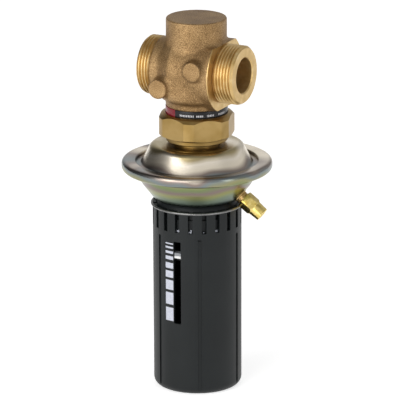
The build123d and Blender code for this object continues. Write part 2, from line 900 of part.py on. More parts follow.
# Spring plate: a steel washer between the adjusting nut and the spring
with BuildPart() as spring_plate:
    revolve(
        ring_outline(
            tube_radius + moving_clearance, spring_plate_radius, spring_top, nut_level
        ),
        axis=Axis.Z,
    )

# Setting spring: a steel coil with flat ground ends
with BuildPart() as setting_spring:
    with BuildLine():
        coil = Helix(
            pitch=(spring_top - seat_plate_top - spring_wire_radius) / spring_turns,
            height=spring_top - seat_plate_top - spring_wire_radius,
            radius=spring_radius,
            center=(0, 0, seat_plate_top + spring_wire_radius / 2),
        )
    with BuildSketch(Plane(origin=coil @ 0, z_dir=coil % 0)):
        Circle(spring_wire_radius)
    sweep(path=coil, is_frenet=True)
    with Locations((0, 0, seat_plate_top)):
        Cylinder(
            spring_radius + 2 * spring_wire_radius,
            spring_top - seat_plate_top,
            align=(Align.CENTER, Align.CENTER, Align.MIN),
            mode=Mode.INTERSECT,
        )

# Lower spring seat and the nut that holds it on the spindle
with BuildPart() as spring_seat:
    revolve(
        outline(
            (spindle_radius + plate_bore_clearance, seat_plate_bottom),
            (seat_plate_radius, seat_plate_bottom),
            (seat_plate_radius, seat_plate_top),
            (seat_hub_radius, seat_plate_top),
            (seat_hub_radius, seat_plate_top + seat_hub_height),
            (spindle_radius + plate_bore_clearance, seat_plate_top + seat_hub_height),
        ),
        axis=Axis.Z,
    )
with BuildPart() as spindle_nut:
    with BuildSketch(Plane.XY.offset(seat_plate_bottom - spindle_nut_height)):
        RegularPolygon(spindle_nut_flats / 2, 6, major_radius=False)
        Circle(spindle_radius + plate_bore_clearance, mode=Mode.SUBTRACT)
    extrude(amount=spindle_nut_height)

# Impulse nipple: brass, welded into the wall of the bowl and threaded outside
with BuildPart() as impulse_nipple:
    with Locations(fitting_plane):
        Cylinder(
            nipple_spigot_radius,
            nipple_weld_depth,
            align=(Align.CENTER, Align.CENTER, Align.MAX),
        )
        Cylinder(
            nipple_radius - nipple_ring_depth,
            nipple_length,
            align=(Align.CENTER, Align.CENTER, Align.MIN),
        )
        for index in range(nipple_ring_count):
            with Locations((0, 0, index * nipple_ring_pitch)):
                Cylinder(
                    nipple_radius,
                    nipple_ring_pitch / 2,
                    align=(Align.CENTER, Align.CENTER, Align.MIN),
                )
        with Locations((0, 0, -nipple_weld_depth)):
            Cylinder(
                nipple_bore_radius,
                nipple_weld_depth + nipple_length,
                align=(Align.CENTER, Align.CENTER, Align.MIN),
                mode=Mode.SUBTRACT,
            )

# Cutting ring: brass, seals the impulse tube in the nut
with BuildPart() as cutting_ring:
    with Locations(fitting_plane):
        with Locations((0, 0, nipple_length)):
            Cone(
                cutting_ring_radius,
                cutting_ring_radius - 0.5,
                cutting_ring_length,
                align=(Align.CENTER, Align.CENTER, Align.MIN),
            )
            Cylinder(
                tube_socket_radius,
                cutting_ring_length,
                align=(Align.CENTER, Align.CENTER, Align.MIN),
                mode=Mode.SUBTRACT,
            )

# Compression nut: brass, a hexagon with a tapered round end for the impulse tube
with BuildPart() as compression_nut:
    with BuildSketch(fitting_plane.offset(nipple_gap)):
        RegularPolygon(fitting_nut_flats / 2, 6, major_radius=False)
    extrude(amount=fitting_hex_length)
    with Locations(fitting_plane.offset(nipple_gap)):
        Cone(
            fitting_corner_radius + fitting_hex_length * fitting_crown_slope,
            fitting_shoulder_radius - 0.1,
            fitting_hex_length,
            align=(Align.CENTER, Align.CENTER, Align.MIN),
            mode=Mode.INTERSECT,
        )
    with Locations(fitting_plane.offset(nipple_gap + fitting_hex_length)):
        Cone(
            fitting_shoulder_radius,
            fitting_end_radius,
            fitting_nut_length - fitting_hex_length,
            align=(Align.CENTER, Align.CENTER, Align.MIN),
        )
    with Locations(fitting_plane.offset(nipple_gap)):
        Cylinder(
            nipple_radius - nipple_ring_depth + fitting_thread_clearance,
            nipple_length - nipple_gap + cutting_ring_length,
            align=(Align.CENTER, Align.CENTER, Align.MIN),
            mode=Mode.SUBTRACT,
        )
        Cylinder(
            tube_socket_radius,
            fitting_nut_length,
            align=(Align.CENTER, Align.CENTER, Align.MIN),
            mode=Mode.SUBTRACT,
        )

os.makedirs("parts", exist_ok=True)
for label, piece in (
    ("valve_body", valve_body),
    ("valve_seat", valve_seat),
    ("valve_plug", valve_plug),
    ("plug_seal", plug_seal),
    ("valve_stem", valve_stem),
    ("stem_guide", stem_guide),
    ("stem_o_ring", stem_o_ring),
    ("neck_gasket", neck_gasket),
    ("label_ring", label_ring),
    ("union_nut", union_nut),
    ("housing_hub", housing_hub),
    ("upper_casing", upper_casing),
    ("lower_casing", lower_casing),
    ("diaphragm", diaphragm),
    ("diaphragm_plate_upper", diaphragm_plate_upper),
    ("diaphragm_plate_lower", diaphragm_plate_lower),
    ("plate_nut", plate_nut),
    ("spindle", spindle),
    ("guide_tube", guide_tube),
    ("spindle_o_ring", spindle_o_ring),
    ("guide_nut", guide_nut),
    ("handle_carrier", handle_carrier),
    ("handle", handle),
    ("retaining_ring", retaining_ring),
    ("adjusting_nut", adjusting_nut),
    ("indicator", indicator),
    ("spring_plate", spring_plate),
    ("setting_spring", setting_spring),
    ("spring_seat", spring_seat),
    ("spindle_nut", spindle_nut),
    ("impulse_nipple", impulse_nipple),
    ("cutting_ring", cutting_ring),
    ("compression_nut", compression_nut),
):
    piece.part.label = label
    export_step(piece.part, f"parts/{label}.step")
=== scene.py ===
from math import atan2, cos, pi, radians, sin, tan

import bmesh
import bpy
from mathutils import Matrix, Vector


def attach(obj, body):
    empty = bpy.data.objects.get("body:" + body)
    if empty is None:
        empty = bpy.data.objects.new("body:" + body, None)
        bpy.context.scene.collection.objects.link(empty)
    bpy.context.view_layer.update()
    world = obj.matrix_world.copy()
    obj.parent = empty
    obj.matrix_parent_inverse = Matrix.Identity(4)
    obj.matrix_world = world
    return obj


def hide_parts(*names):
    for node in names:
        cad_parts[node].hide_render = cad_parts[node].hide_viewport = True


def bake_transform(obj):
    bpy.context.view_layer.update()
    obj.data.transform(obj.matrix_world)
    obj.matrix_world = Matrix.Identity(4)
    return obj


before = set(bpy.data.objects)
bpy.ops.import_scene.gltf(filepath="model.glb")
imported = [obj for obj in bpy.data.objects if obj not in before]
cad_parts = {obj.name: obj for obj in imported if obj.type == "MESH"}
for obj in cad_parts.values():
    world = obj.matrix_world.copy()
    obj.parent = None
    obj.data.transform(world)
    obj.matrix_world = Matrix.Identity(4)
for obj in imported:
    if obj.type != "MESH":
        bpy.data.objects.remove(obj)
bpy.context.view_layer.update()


# The valve body: a red bronze casting made in sand, with two ports, a closed cap and two
# test bosses. The union of its forms is rounded in every root, as molten metal leaves it,
# and its passages are bored from below and from both ports.
MM = 0.001
pipe_height = 230.0
half_length = 37.5
chamber_radius, collar_radius, cap_radius = 27.0, 27.5, 21.4
cap_top = 268.0
collar_face = 22.0
flat_below, flat_above = 25.0, 21.0
bore_radius = 12.5
root_fill = 1.6


def turned(name, outline, along="Z", height=0.0, steps=160, closed=True):
    """A piece turned on a lathe. The outline is (radius, place along the axis, rounding) in
    millimetres. The axis stands on the origin, or lies along X at a height."""
    bpy.ops.object.select_all(action="DESELECT")
    bpy.ops.mesh.primitive_plane_add(size=0.01)
    piece = bpy.context.object
    piece.name = piece.data.name = name
    bpy.ops.object.mode_set(mode="EDIT")
    bpy.ops.mesh.select_all(action="SELECT")
    bpy.ops.mesh.merge(type="CENTER")
    if along == "Z":
        points = [Vector((r * MM, 0, z * MM)) for r, z, _ in outline]
        axis = (0, 0, 1)
    else:
        points = [Vector((x * MM, 0, (height + r) * MM)) for r, x, _ in outline]
        axis = (1, 0, 0)
    bpy.ops.transform.translate(value=points[0])
    for before, after in zip(points, points[1:] + points[:closed]):
        bpy.ops.mesh.extrude_region_move(TRANSFORM_OT_translate={"value": after - before})
    bpy.ops.mesh.select_all(action="SELECT")
    bpy.ops.mesh.remove_doubles(threshold=1e-7)
    for place, (_, _, rounding) in zip(points, outline):
        if not rounding:
            continue
        edit = bmesh.from_edit_mesh(piece.data)
        corner = min(edit.verts, key=lambda v: (v.co - place).length)
        if (corner.co - place).length > 1e-6:
            raise ValueError(f"{name}: the outline's rounded corners overlap")
        ways = [(e.other_vert(corner).co - corner.co).normalized() for e in corner.link_edges]
        half = ways[0].angle(ways[1]) / 2
        for vert in edit.verts:
            vert.select_set(vert is corner)
        edit.select_flush(False)
        bmesh.update_edit_mesh(piece.data)
        bpy.ops.mesh.bevel(
            offset=rounding * MM / tan(half), segments=max(3, int(rounding * 2)), affect="VERTICES"
        )
    bpy.ops.mesh.select_all(action="SELECT")
    bpy.ops.mesh.spin(steps=steps, angle=2 * pi, center=(0, 0, height * MM), axis=axis)
    bpy.ops.mesh.select_all(action="SELECT")
    bpy.ops.mesh.remove_doubles(threshold=1e-7)
    bpy.ops.mesh.normals_make_consistent(inside=False)
    bpy.ops.object.mode_set(mode="OBJECT")
    bpy.ops.object.shade_smooth_by_angle(angle=radians(30))
    return piece


def cut(piece, tool, operation="DIFFERENCE", solver="MANIFOLD"):
    """Cuts a piece with a tool, or joins them, and throws the tool away."""
    bpy.ops.object.select_all(action="DESELECT")
    bpy.context.view_layer.objects.active = piece
    piece.select_set(True)
    bpy.ops.object.modifier_add(type="BOOLEAN")
    step = piece.modifiers[-1]
    step.operation, step.solver, step.object = operation, solver, tool
    bpy.ops.object.modifier_apply(modifier=step.name)
    bpy.data.objects.remove(tool)


def modify(piece, kind, **settings):
    """Adds one modifier to a piece and applies it."""
    bpy.ops.object.select_all(action="DESELECT")
    bpy.context.view_layer.objects.active = piece
    piece.select_set(True)
    bpy.ops.object.modifier_add(type=kind)
    step = piece.modifiers[-1]
    for name, value in settings.items():
        setattr(step, name, value)
    bpy.ops.object.modifier_apply(modifier=step.name)


def cylinder(radius, low, high, along="Z", at=(0, 0, 0), sides=96):
    """A plain cylinder between two places along an axis, in millimetres."""
    turn = {"Z": (0, 0, 0), "X": (0, pi / 2, 0), "Y": (-pi / 2, 0, 0)}[along]
    middle = Vector(at) + (low + high) / 2 * Vector(
        {"Z": (0, 0, 1), "X": (1, 0, 0), "Y": (0, 1, 0)}[along]
    )
    bpy.ops.object.select_all(action="DESELECT")
    bpy.ops.mesh.primitive_cylinder_add(
        vertices=sides, radius=radius * MM, depth=(high - low) * MM,
        location=middle * MM, rotation=turn,
    )
    bpy.ops.object.transform_apply(location=True, rotation=True, scale=True)
    return bpy.context.object


def block(low, high):
    """A plain block between two corners, in millimetres."""
    low, high = Vector(low) * MM, Vector(high) * MM
    bpy.ops.object.select_all(action="DESELECT")
    bpy.ops.mesh.primitive_cube_add(size=1, location=(low + high) / 2, scale=high - low)
    bpy.ops.object.transform_apply(location=True, rotation=True, scale=True)
    return bpy.context.object


body = turned("valve_body_casting", [
    (0, 190, 0), (20.45, 190, 0), (20.45, 205, 0), (21.8, 205, 0), (21.8, 210, 0),
    (chamber_radius, 210, 4.5), (chamber_radius, pipe_height, 0), (cap_radius, pipe_height, 0),
    (cap_radius, cap_top, 0.8), (0, cap_top, 0),
], closed=False)
barrel = turned("barrel", [
    (0, -27.3, 0), (19.6, -27.3, 0), (21, -26.9, 0), (21, -20.5, 0),
    (chamber_radius, -10.0, 0), (chamber_radius, 18.4, 0), (collar_radius, 18.4, 0),
    (collar_radius, 24.0, 0), (0, 24.0, 0),
], along="X", height=pipe_height, closed=False)
cut(barrel, block((-40, -40, pipe_height - flat_below), (40, 40, pipe_height + flat_above)),
    "INTERSECT")
cut(body, barrel, "UNION")
cut(body, block((collar_face, -40, 200), (40, 40, 260)))
for boss_x, boss_z in ((11.2, 6.4), (-15.5, -9.0)):
    boss = cylinder(7.0, -31.0, -10, along="Y", at=(boss_x, 0, pipe_height + boss_z))
    cut(body, boss, "UNION")
cutter = turned("passages", [
    (0, 189, 0), (17, 189, 0), (17, 199, 0), (16, 199, 0), (16, 228.9, 0), (0, 228.9, 0),
], closed=False)
cut(cutter, turned("upper", [(0, 233, 0), (14, 233, 0), (14, 261, 3), (0, 261, 0)],
                   closed=False), "UNION")
cut(cutter, cylinder(11, 225, 240), "UNION")
for side in (-1, 1):
    ends = sorted((side * 17.0, side * 45.0))
    cut(cutter, cylinder(13.2, *ends, along="X", at=(0, 0, pipe_height)), "UNION")
    half = cylinder(bore_radius, *sorted((side * 2.0, side * 18.0)), along="X", at=(0, 0, pipe_height))
    keep = (210, 229) if side < 0 else (233, 250)
    cut(half, block((-50, -20, keep[0]), (50, 20, keep[1])), "INTERSECT")
    cut(cutter, half, "UNION")
cut(body, cutter)
# Every root is filled: the skin is grown by that much and taken back again
modify(body, "REMESH", mode="VOXEL", voxel_size=0.65 * MM)
modify(body, "DISPLACE", strength=root_fill * MM, mid_level=0)
modify(body, "REMESH", mode="VOXEL", voxel_size=0.65 * MM)
modify(body, "SMOOTH", factor=0.5, iterations=6)
modify(body, "DISPLACE", strength=-root_fill * MM, mid_level=0)
modify(body, "SMOOTH", factor=0.5, iterations=4)
modify(body, "DECIMATE", ratio=0.6)
bpy.ops.object.shade_smooth_by_angle(angle=radians(40))


def srgb(colour):
    """A colour as it is written on screens, such as "#a08050", turned to linear light."""
    parts = [int(colour[i:i + 2], 16) / 255 for i in (1, 3, 5)]
    return [p / 12.92 if p <= 0.04045 else ((p + 0.055) / 1.055) ** 2.4 for p in parts] + [1]


def add_node(tree, kind, inputs=None, stops=None, **settings):
    """Adds a node, with its settings, its input values or links, and its colour stops."""
    node = tree.nodes.new("ShaderNode" + kind)
    for name, value in settings.items():
        setattr(node, name, value)
    for name, value in (inputs or {}).items():
        if isinstance(value, bpy.types.NodeSocket):
            tree.links.new(value, node.inputs[name])
        else:
            node.inputs[name].default_value = value
    if stops:
        ramp = node.color_ramp
        while len(ramp.elements) < len(stops):
            ramp.elements.new(1.0)
        for stop, (place, colour) in zip(ramp.elements, stops):
            stop.position = place
            stop.color = srgb(colour) if isinstance(colour, str) else (colour,) * 3 + (1,)
    return node


def new_material(name):
    """An empty material, its node tree and the object coordinates."""
    material = bpy.data.materials.new(name)
    material.use_nodes = True
    tree = material.node_tree
    tree.nodes.clear()
    place = add_node(tree, "TexCoord").outputs["Object"]
    return material, tree, place


HOUSING = "valve_and_housing"


def give(piece, material, body_name, slot_name, *nodes):
    """Paints a piece, hangs it on its body and hides the CAD nodes it stands for."""
    piece.data.materials.clear()
    piece.data.materials.append(material)
    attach(piece, body_name)
    if nodes:
        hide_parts(*nodes)


# Sand-cast red bronze, shot-blasted: a dull golden tan with a fine grain of 0.5 mm, paler
# on the crests of the grain and browner in its pits.
cast_bronze, tree, place = new_material("sand_cast_bronze")
grit = add_node(tree, "TexNoise", {"Vector": place, "Scale": 1 / (0.5 * MM), "Detail": 2.0})
blotch = add_node(tree, "TexNoise", {"Vector": place, "Scale": 1 / (14 * MM), "Detail": 2.0})
tone = add_node(tree, "Mix", {0: 0.75, 2: blotch.outputs["Fac"], 3: grit.outputs["Fac"]})
colour = add_node(tree, "ValToRGB", {"Fac": tone.outputs[0]}, stops=[
    (0.36, "#61472b"), (0.5, "#93744a"), (0.64, "#c2a072")])
rough = add_node(tree, "MapRange", {"Value": grit.outputs["Fac"], 3: 0.4, 4: 0.56})
bump = add_node(tree, "Bump", {"Height": grit.outputs["Fac"], "Strength": 1.0,
                               "Distance": 0.25 * MM})
skin = add_node(tree, "BsdfPrincipled", {
    "Base Color": colour.outputs["Color"], "Metallic": 0.7,
    "Roughness": rough.outputs["Result"], "Normal": bump.outputs["Normal"]})
add_node(tree, "OutputMaterial", {"Surface": skin.outputs["BSDF"]})
give(body, cast_bronze, HOUSING, "cast_bronze", "valve_body")


# The two threaded ports: the same bronze, turned after casting. Each has a pipe thread of
# 2.309 mm pitch outside, a flat sealing face and a bored hole.
thread_pitch = 2.309
crest, root = 20.955, 19.476


def threaded_port(name, start, thread_start, end):
    """A machined port from inside the casting to its sealing face, with a real helix."""
    side = 1 if end > 0 else -1
    turns = int(abs(end - thread_start) / thread_pitch) + 3
    line = [(root + 0.1, 0.0), (root, 0.14), (root + 0.1, 0.28), (crest - 0.16, 0.86),
            (crest, 1.0), (crest, 1.42), (crest - 0.16, 1.56), (root + 0.1, 2.14)]
    points = [(r, (turn * thread_pitch + x)) for turn in range(turns) for r, x in line]
    points.append((root + 0.1, turns * thread_pitch))
    bpy.ops.object.select_all(action="DESELECT")
    bpy.ops.mesh.primitive_plane_add(size=0.01)
    screw = bpy.context.object
    bpy.ops.object.mode_set(mode="EDIT")
    bpy.ops.mesh.select_all(action="SELECT")
    bpy.ops.mesh.merge(type="CENTER")
    spots = [Vector((r * MM, 0, z * MM)) for r, z in points]
    bpy.ops.transform.translate(value=spots[0])
    for before, after in zip(spots, spots[1:]):
        bpy.ops.mesh.extrude_region_move(TRANSFORM_OT_translate={"value": after - before})
    bpy.ops.object.mode_set(mode="OBJECT")
    modify(screw, "SCREW", axis="Z", angle=2 * pi, screw_offset=thread_pitch * MM,
           iterations=1, steps=128, render_steps=128, use_merge_vertices=False)
    bpy.ops.object.mode_set(mode="EDIT")
    bpy.ops.mesh.select_all(action="SELECT")
    bpy.ops.mesh.remove_doubles(threshold=1e-6)
    for level in (0.0, (turns + 1) * thread_pitch):
        bpy.ops.mesh.select_all(action="DESELECT")
        edit = bmesh.from_edit_mesh(screw.data)
        for edge in edit.edges:
            near_end = all(abs(v.co.z - level * MM) < 1.01 * thread_pitch * MM for v in edge.verts)
            edge.select_set(edge.is_boundary and near_end)
        bmesh.update_edit_mesh(screw.data)
        bpy.ops.mesh.extrude_region_move()
        bpy.ops.mesh.merge(type="CENTER")
    low = 1.5 * thread_pitch
    bpy.ops.mesh.select_all(action="SELECT")
    bpy.ops.mesh.normals_make_consistent(inside=False)
    bpy.ops.object.mode_set(mode="OBJECT")
    screw.data.transform(Matrix.Translation((0, 0, (abs(thread_start) - low) * MM)))
    ends = Matrix.Rotation(side * pi / 2, 4, "Y")
    screw.data.transform(Matrix.Translation((0, 0, pipe_height * MM)) @ ends)
    bpy.context.view_layer.update()
    near, far = side * abs(start), side * abs(end)
    chamfer_start = far - side * 2.0
    port = turned(name, [
        (0, side * (abs(thread_start) - 1), 0), (root + 0.2, side * (abs(thread_start) - 1), 0),
        (crest + 0.02, side * (abs(thread_start) + 0.2), 0), (crest + 0.02, chamfer_start, 0),
        (root - 0.1, far, 0), (0, far, 0),
    ], along="X", height=pipe_height, closed=False)
    cut(port, screw, "INTERSECT")
    cut(port, turned("sleeve", [
        (0, near, 0), (root - 0.4, near, 0), (root - 0.4, side * (abs(thread_start) + 0.5), 0),
        (0, side * (abs(thread_start) + 0.5), 0),
    ], along="X", height=pipe_height, closed=False), "UNION")
    cut(port, turned("bore", [
        (0, near - side * 5, 0), (bore_radius, near - side * 5, 0),
        (bore_radius, far - side * 0.8, 0),
        (13.3, far, 0), (14.3, far + side * 1, 0), (0, far + side * 1, 0),
    ], along="X", height=pipe_height, closed=False))
    bpy.ops.object.shade_smooth_by_angle(angle=radians(24))
    return port


# Turned bronze: bright golden metal with very fine tool rings round the pipe axis. The
# rings are drawn 0.25 mm apart, coarser than real ones, so that they show.
turned_bronze, tree, place = new_material("turned_bronze")
rings = add_node(tree, "TexWave", {"Vector": place, "Scale": 1 / (0.25 * MM) / 20, "Distortion": 0.6,
                                   "Detail": 2.0}, wave_type="BANDS", bands_direction="X")
stain = add_node(tree, "TexNoise", {"Vector": place, "Scale": 1 / (6 * MM), "Detail": 4.0})
colour = add_node(tree, "ValToRGB", {"Fac": stain.outputs["Fac"]}, stops=[
    (0.3, "#c2a265"), (0.52, "#d0b076"), (0.75, "#dcc390")])
rough = add_node(tree, "MapRange", {"Value": stain.outputs["Fac"], 3: 0.3, 4: 0.42})
bump = add_node(tree, "Bump", {"Height": rings.outputs["Fac"], "Strength": 0.06,
                               "Distance": 0.04 * MM})
metal = add_node(tree, "BsdfPrincipled", {
    "Base Color": colour.outputs["Color"], "Metallic": 0.8,
    "Roughness": rough.outputs["Result"], "Normal": bump.outputs["Normal"]})
add_node(tree, "OutputMaterial", {"Surface": metal.outputs["BSDF"]})
outlet = threaded_port("outlet_port", 17.0, 22.9, half_length)
inlet = threaded_port("inlet_port", -17.0, -28.5, -half_length)
# The tool also faced the collar beside the outlet's thread
facing = cylinder(27.3, 21.0, 22.08, along="X", at=(0, 0, pipe_height), sides=160)
cut(facing, block((20, -40, pipe_height - flat_below + 0.1),
                  (30, 40, pipe_height + flat_above - 0.1)), "INTERSECT")
cut(facing, cylinder(18.0, 20.0, 24.0, along="X", at=(0, 0, pipe_height), sides=160))
cut(outlet, facing, "UNION")
modify(outlet, "BEVEL", width=0.1 * MM, segments=1, limit_method="ANGLE", angle_limit=radians(60))
bpy.ops.object.shade_smooth_by_angle(angle=radians(24))
for port in (outlet, inlet):
    give(port, turned_bronze, HOUSING, "cast_bronze")


# The label ring: a black glossy plastic band round the neck. Its print is a field of red
# and groups of plain white marks, at the size of small print.
label_ring = turned("label_ring_band", [
    (20.6, 198.5, 0), (21.9, 198.5, 0.3), (21.9, 205, 0.3), (20.6, 205, 0)])

# Glossy plastic film: deep black with sharp highlights and faint scuffs
label_plastic, tree, place = new_material("glossy_label_plastic")
parts = add_node(tree, "SeparateXYZ", {"Vector": place})
turn = add_node(tree, "Math", {0: parts.outputs["Y"], 1: parts.outputs["X"]},
                operation="ARCTAN2")
share = add_node(tree, "MapRange", {"Value": turn.outputs[0], 1: -pi, 2: pi})
field = add_node(tree, "ValToRGB", {"Fac": share.outputs["Result"]}, stops=[
    (0.0, "#0b0b0c"), (27.0 / 360, "#7c1422"), (72.0 / 360, "#0b0b0c")])
field.color_ramp.interpolation = "CONSTANT"
groups = add_node(tree, "ValToRGB", {"Fac": share.outputs["Result"]}, stops=[
    (0.0, 0.0), (82 / 360, 1.0), (110 / 360, 0.0), (115 / 360, 1.0), (128 / 360, 0.0),
    (136 / 360, 1.0), (150 / 360, 0.0), (159 / 360, 1.0), (180 / 360, 0.0)])
groups.color_ramp.interpolation = "CONSTANT"
strokes = add_node(tree, "Math", {0: turn.outputs[0], 1: 18.0}, operation="MULTIPLY")
strokes = add_node(tree, "Math", {0: strokes.outputs[0]}, operation="FRACT")
strokes = add_node(tree, "Math", {0: strokes.outputs[0], 1: 0.55}, operation="LESS_THAN")
middle = add_node(tree, "Math", {0: parts.outputs["Z"], 1: 0.2018, 2: 0.0007},
                  operation="COMPARE")
marks = add_node(tree, "Math", {0: strokes.outputs[0], 1: middle.outputs[0]},
                 operation="MULTIPLY")
marks = add_node(tree, "Math", {0: marks.outputs[0], 1: groups.outputs["Color"]},
                 operation="MULTIPLY")
printed = add_node(tree, "Mix", {0: marks.outputs[0], 6: field.outputs["Color"],
                                 7: srgb("#d8d8dc")}, data_type="RGBA")
scuffs = add_node(tree, "TexNoise", {"Vector": place, "Scale": 1 / (2 * MM), "Detail": 4.0})
rough = add_node(tree, "MapRange", {"Value": scuffs.outputs["Fac"], 3: 0.18, 4: 0.34})
shell = add_node(tree, "BsdfPrincipled", {
    "Base Color": printed.outputs[2], "Roughness": rough.outputs["Result"],
    "Specular IOR Level": 0.32})
add_node(tree, "OutputMaterial", {"Surface": shell.outputs["BSDF"]})
give(label_ring, label_plastic, HOUSING, "label_plastic", "label_ring")


# The union nut: a forged brass hexagon, turned to a cone at both ends and with a plain
# collar below. It is satin from tumbling.
nut = cylinder(25.0 / cos(pi / 6), 179.4, 200.0, sides=6)
nut.name = nut.data.name = "union_nut_hexagon"
nut.data.transform(Matrix.Rotation(radians(15), 4, "Z"))
cut(nut, turned("nut_envelope", [
    (0, 179.4, 0), (21.0, 179.4, 0), (21.8, 180.2, 0), (21.8, 182.6, 0.3), (24.0, 183.2, 0),
    (26.9, 184.7, 0), (26.9, 197.0, 0), (25.0, 199.0, 0), (22.9, 200.0, 0.25), (0, 200, 0),
], closed=False), "INTERSECT")
cut(nut, turned("nut_bore", [
    (0, 178, 0), (16.6, 178, 0), (16.6, 187.0, 0), (20.55, 187.0, 0), (20.55, 198.3, 0),
    (22.2, 198.3, 0), (22.2, 201, 0), (0, 201, 0)], closed=False))
modify(nut, "BEVEL", width=0.25 * MM, segments=1, limit_method="ANGLE",
       angle_limit=radians(17))
bpy.ops.object.shade_smooth_by_angle(angle=radians(14))

# Tumbled brass: even golden brown, with a grain finer than a millimetre
tumbled_brass, tree, place = new_material("tumbled_brass")
grain = add_node(tree, "TexNoise", {"Vector": place, "Scale": 1 / (0.7 * MM), "Detail": 3.0})
cloud = add_node(tree, "TexNoise", {"Vector": place, "Scale": 1 / (12 * MM), "Detail": 2.0})
colour = add_node(tree, "ValToRGB", {"Fac": cloud.outputs["Fac"]}, stops=[
    (0.35, "#967b48"), (0.6, "#a48957")])
rough = add_node(tree, "MapRange", {"Value": grain.outputs["Fac"], 3: 0.28, 4: 0.42})
bump = add_node(tree, "Bump", {"Height": grain.outputs["Fac"], "Strength": 0.25,
                               "Distance": 0.06 * MM})
metal = add_node(tree, "BsdfPrincipled", {
    "Base Color": colour.outputs["Color"], "Metallic": 1.0,
    "Roughness": rough.outputs["Result"], "Normal": bump.outputs["Normal"]})
add_node(tree, "OutputMaterial", {"Surface": metal.outputs["BSDF"]})
give(nut, tumbled_brass, HOUSING, "turned_brass", "union_nut")


# The diaphragm housing: two halves deep-drawn from 2 mm sheet. The lower half's edge is
# rolled over the flange of the upper half, with the diaphragm between them.
bowl_foot, bowl_foot_radius = 137.0, 29.65
bowl_waist, bowl_waist_radius = 149.1, 39.0
upper = turned("upper_casing_dome", [
    (12.05, 177.5, 0), (32.0, 177.5, 5.5), (39.2, 163.0, 1.5), (50.2, 163.0, 0),
    (50.2, 161.0, 0), (37.96, 161.0, 3.5), (30.76, 175.5, 3.5), (12.05, 175.5, 0),
], steps=192)
lower = turned("lower_casing_bowl", [
    (9.05, bowl_foot, 0), (bowl_foot_radius, bowl_foot, 6.0),
    (bowl_waist_radius, bowl_waist, 12.0), (43.3, 158.0, 2.6),
    (53.1, 158.0, 2.9), (53.1, 165.5, 2.9), (43.3, 164.85, 0.5), (43.3, 163.05, 0.5),
    (51.3, 163.58, 1.1), (51.3, 159.8, 1.1), (42.17, 159.8, 4.4), (37.46, 150.05, 10.2),
    (28.77, 138.8, 4.2), (9.05, 138.8, 0),
], steps=192)

# Yellow-passivated zinc on drawn steel: a thin film whose hue drifts between straw, rose,
# green and blue with its thickness, over a faint orange peel. Here the colour follows height
# and noise, and its brightness by height is painted light and shade: painted shade on the
# bowl under the rim, painted light on the dome's flank, and a painted reflection of the brown
# nut at the top.
passivated, tree, place = new_material("yellow_passivated_zinc_painted_light")
parts = add_node(tree, "SeparateXYZ", {"Vector": place})
drift = add_node(tree, "TexNoise", {"Vector": place, "Scale": 1 / (35 * MM), "Detail": 1.0})
level = add_node(tree, "MapRange", {"Value": parts.outputs["Z"], 1: 0.137, 2: 0.1775})
film = add_node(tree, "Math", {0: drift.outputs["Fac"], 1: 0.6, 2: -0.3},
                operation="MULTIPLY_ADD")
film = add_node(tree, "Math", {0: level.outputs["Result"], 1: film.outputs[0]})
# Dark stops are painted shade on the bowl under the rim, pale stops painted light on the dome's flank,
# and the last, brown stop a painted reflection of the nut; the hues are the film's own
colour = add_node(tree, "ValToRGB", {"Fac": film.outputs[0]}, stops=[
    (0.0, "#5b6863"), (0.14, "#6d7a66"), (0.24, "#878956"), (0.33, "#7f706d"),
    (0.42, "#77855b"), (0.5, "#908d69"), (0.58, "#7b8485"), (0.66, "#8a7d75"),
    (0.76, "#eee3cf"), (0.9, "#f3e9d8"), (1.0, "#aa9b75")])
peel = add_node(tree, "TexNoise", {"Vector": place, "Scale": 1 / (1.6 * MM), "Detail": 2.0})
rough = add_node(tree, "MapRange", {"Value": peel.outputs["Fac"], 3: 0.22, 4: 0.28})
bump = add_node(tree, "Bump", {"Height": peel.outputs["Fac"], "Strength": 0.03,
                               "Distance": 0.04 * MM})
metal = add_node(tree, "BsdfPrincipled", {
    "Base Color": colour.outputs["Color"], "Metallic": 1.0,
    "Roughness": rough.outputs["Result"], "Normal": bump.outputs["Normal"]})
add_node(tree, "OutputMaterial", {"Surface": metal.outputs["BSDF"]})
give(upper, passivated, HOUSING, "passivated_steel", "upper_casing")
give(lower, passivated, HOUSING, "passivated_steel", "lower_casing")


# The impulse fitting: a brass nipple welded square on the bowl's sloping wall, and the
# compression nut that would hold a 6 mm tube. Both are turned from bright bar.
wall_slope = atan2(bowl_waist - bowl_foot, bowl_waist_radius - bowl_foot_radius)
fitting_turn, fitting_height = radians(7.0), 141.0
wall_radius = bowl_foot_radius + (fitting_height - bowl_foot) / tan(wall_slope)
outward = Vector((
    sin(wall_slope) * cos(fitting_turn), sin(wall_slope) * sin(fitting_turn), -cos(wall_slope)))
across = Vector((-sin(fitting_turn), cos(fitting_turn), 0))
fitting_place = Matrix.Translation(Vector((
    wall_radius * cos(fitting_turn), wall_radius * sin(fitting_turn), fitting_height)) * MM)
fitting_axes = Matrix((across, outward.cross(across), outward)).transposed()
fitting_place = fitting_place @ fitting_axes.to_4x4()

nipple = turned("impulse_nipple_stub", [
    (2.0, -2.6, 0), (3.0, -2.6, 0), (3.0, -0.3, 0), (5.4, -0.3, 0), (5.0, 0.25, 0.2),
    (4.1, 0.5, 0), (4.1, 0.75, 0), (4.5, 0.85, 0.1), (4.5, 1.45, 0.1), (4.0, 1.6, 0),
    (4.0, 1.9, 0), (4.45, 2.0, 0.1), (4.45, 2.5, 0.1), (3.95, 2.65, 0), (3.95, 11.0, 0),
    (2.0, 11.0, 0)], steps=64)
nut = cylinder(5.5 / cos(pi / 6), 3.0, 13.0, sides=6)
nut.name = nut.data.name = "compression_nut_hexagon"
nut.data.transform(Matrix.Rotation(radians(30), 4, "Z"))
cut(nut, turned("fitting_envelope", [
    (0, 3.0, 0), (5.6, 3.0, 0), (6.4, 3.5, 0), (6.4, 11.4, 0), (5.35, 13.0, 0), (0, 13.0, 0),
], closed=False, steps=96), "INTERSECT")
